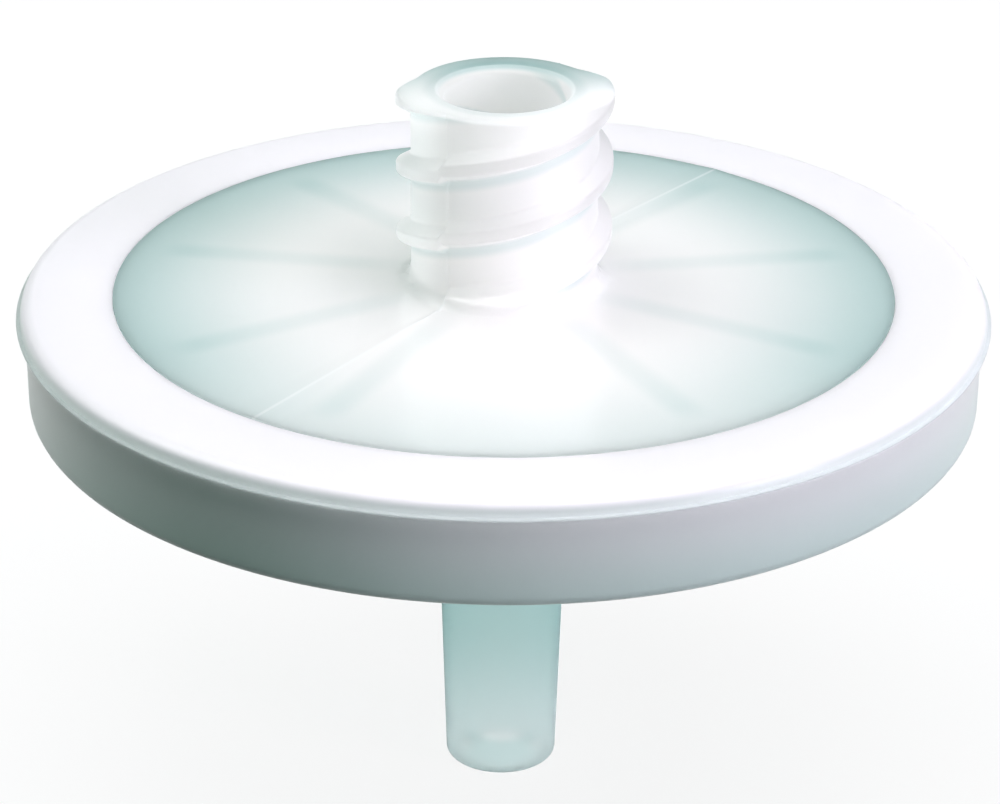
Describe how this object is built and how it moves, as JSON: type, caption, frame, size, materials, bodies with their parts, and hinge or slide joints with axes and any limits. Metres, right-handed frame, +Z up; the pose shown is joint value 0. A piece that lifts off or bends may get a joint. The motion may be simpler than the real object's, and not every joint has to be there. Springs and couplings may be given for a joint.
{
  "type": "syringe filter",
  "caption": "Round disc syringe filter with a white ring, a translucent cap, a threaded female inlet on top and a tapered male outlet below.",
  "frame": {"origin": "centre of the outlet tip's end face, the lowest point of the part, on the flow axis", "axes": "+Z up along the flow axis, from the outlet to the inlet; -Y is the side seen from the front"},
  "size_m": [0.0346, 0.0346, 0.0266],
  "materials": {
    "natural_plastic": "translucent natural polypropylene, satin as moulded",
    "white_plastic": "opaque white polypropylene, smooth satin",
    "membrane_sheet": "matt white microporous membrane"
  },
  "bodies": {
    "root": {"inlet_housing": "natural_plastic", "outlet_housing": "natural_plastic", "membrane": "membrane_sheet", "retaining_ring": "white_plastic"}
  },
  "joints": []
}
